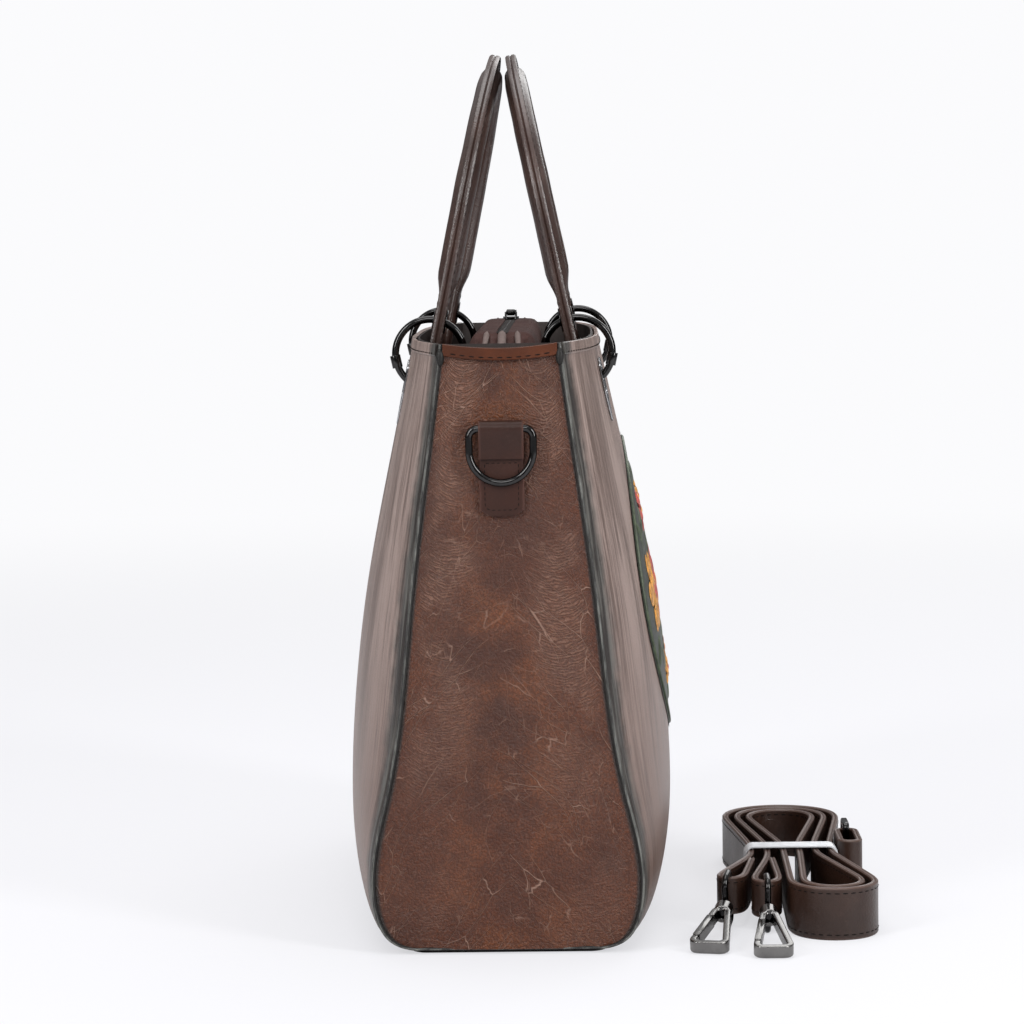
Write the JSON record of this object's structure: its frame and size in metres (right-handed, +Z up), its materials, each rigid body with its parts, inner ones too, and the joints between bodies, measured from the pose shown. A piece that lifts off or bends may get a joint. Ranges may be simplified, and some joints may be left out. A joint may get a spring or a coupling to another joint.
{
  "type": "tote bag",
  "caption": "Structured leather tote bag with a zipped top, rolled carrying handles on rings, end D-rings and a loose shoulder strap with swivel snap hooks.",
  "frame": {"origin": "centre of the base on the floor", "axes": "+X along the bag to its far end, -Y out of the front panel, +Z up"},
  "size_m": [0.3348, 0.2556, 0.423],
  "materials": {
    "panel_leather": "satin, fine upright streaks",
    "gusset_leather": "creased, soft sheen",
    "edge_leather": "satin",
    "handle_leather": "satin",
    "strap_leather": "satin",
    "facing_leather": "matt",
    "lining_cloth": "woven",
    "zip_cloth": "woven",
    "board": "matt",
    "motif": "coloured, satin",
    "tie_band": "glossy",
    "dark_metal": "polished dark nickel"
  },
  "bodies": {
    "bag": {"front_panel": "panel_leather", "rear_panel": "panel_leather", "front_zip_panel": "panel_leather", "rear_zip_panel": "panel_leather", "left_gusset": "gusset_leather", "right_gusset": "gusset_leather", "left_piping": "edge_leather", "right_piping": "edge_leather", "base_panel": "edge_leather", "left_ring_tab": "edge_leather", "right_ring_tab": "edge_leather", "shoulder_strap": "strap_leather", "strap_adjuster": "strap_leather", "mouth_facing": "facing_leather", "lining": "lining_cloth", "front_zip_tape": "zip_cloth", "rear_zip_tape": "zip_cloth", "base_board": "board", "front_motif": "motif", "strap_tie": "tie_band", "strap_buckle": "dark_metal", "front_left_eyelet": "dark_metal", "front_right_eyelet": "dark_metal", "rear_left_eyelet": "dark_metal", "rear_right_eyelet": "dark_metal", "inner_hook_eye": "dark_metal", "outer_hook_eye": "dark_metal"},
    "front_handle": {"front_handle": "handle_leather", "front_handle_grommets": "dark_metal"},
    "rear_handle": {"rear_handle": "handle_leather", "rear_handle_grommets": "dark_metal"},
    "front_left_ring": {"front_left_ring": "dark_metal"},
    "front_right_ring": {"front_right_ring": "dark_metal"},
    "rear_left_ring": {"rear_left_ring": "dark_metal"},
    "rear_right_ring": {"rear_right_ring": "dark_metal"},
    "left_d_ring": {"left_d_ring": "dark_metal"},
    "right_d_ring": {"right_d_ring": "dark_metal"},
    "zip_slider": {"zip_slider": "dark_metal"},
    "zip_pull": {"zip_pull": "dark_metal"},
    "inner_hook": {"inner_hook_body": "dark_metal"},
    "inner_gate": {"inner_hook_gate": "dark_metal"},
    "outer_hook": {"outer_hook_body": "dark_metal"},
    "outer_gate": {"outer_hook_gate": "dark_metal"}
  },
  "joints": [
    {"name": "front_handle_swing", "type": "hinge", "parent": "bag", "child": "front_handle", "pos_m": [0, -0.03565, 0.27658], "axis": [1, 0, 0], "range_deg": [0, 30]},
    {"name": "front_left_ring_turn", "type": "hinge", "parent": "bag", "child": "front_left_ring", "pos_m": [-0.077, -0.03565, 0.27658], "axis": [1, 0, 0], "range_deg": [-60, 8]},
    {"name": "front_right_ring_turn", "type": "hinge", "parent": "bag", "child": "front_right_ring", "pos_m": [0.077, -0.03565, 0.27658], "axis": [1, 0, 0], "range_deg": [-60, 8]},
    {"name": "rear_handle_swing", "type": "hinge", "parent": "bag", "child": "rear_handle", "pos_m": [0, 0.03565, 0.27658], "axis": [-1, 0, 0], "range_deg": [0, 30]},
    {"name": "rear_left_ring_turn", "type": "hinge", "parent": "bag", "child": "rear_left_ring", "pos_m": [-0.077, 0.03565, 0.27658], "axis": [-1, 0, 0], "range_deg": [-60, 8]},
    {"name": "rear_right_ring_turn", "type": "hinge", "parent": "bag", "child": "rear_right_ring", "pos_m": [0.077, 0.03565, 0.27658], "axis": [-1, 0, 0], "range_deg": [-60, 8]},
    {"name": "left_d_ring_swing", "type": "hinge", "parent": "bag", "child": "left_d_ring", "pos_m": [-0.15873, 0, 0.24527], "axis": [0, 1, 0], "range_deg": [0, 150]},
    {"name": "right_d_ring_swing", "type": "hinge", "parent": "bag", "child": "right_d_ring", "pos_m": [0.15873, 0, 0.24527], "axis": [0, -1, 0], "range_deg": [0, 150]},
    {"name": "zip_run", "type": "slide", "parent": "bag", "child": "zip_slider", "axis": [-1, 0, 0], "range_m": [0, 0.19]},
    {"name": "zip_pull_lift", "type": "hinge", "parent": "zip_slider", "child": "zip_pull", "pos_m": [0.095, 0, 0.291], "axis": [0, -1, 0], "range_deg": [0, 170]},
    {"name": "inner_hook_swivel", "type": "hinge", "parent": "bag", "child": "inner_hook", "pos_m": [-0.1, -0.1055, 0.0157], "axis": [-0.9587, 0.2038, -0.1984], "continuous": true},
    {"name": "inner_gate_press", "type": "hinge", "parent": "inner_hook", "child": "inner_gate", "pos_m": [-0.15104, -0.08748, 0.00483], "axis": [0.1941, -0.0413, -0.9801], "range_deg": [0, 12], "stiffness_Nm_per_rad": 0.02, "springref_deg": -17.19},
    {"name": "outer_hook_swivel", "type": "hinge", "parent": "bag", "child": "outer_hook", "pos_m": [-0.109, -0.1225, 0.0157], "axis": [-0.9801, 0, -0.1984], "continuous": true},
    {"name": "outer_gate_press", "type": "hinge", "parent": "outer_hook", "child": "outer_gate", "pos_m": [-0.16267, -0.11549, 0.00483], "axis": [0.1984, 0, -0.9801], "range_deg": [0, 12], "stiffness_Nm_per_rad": 0.02, "springref_deg": -17.19}
  ]
}
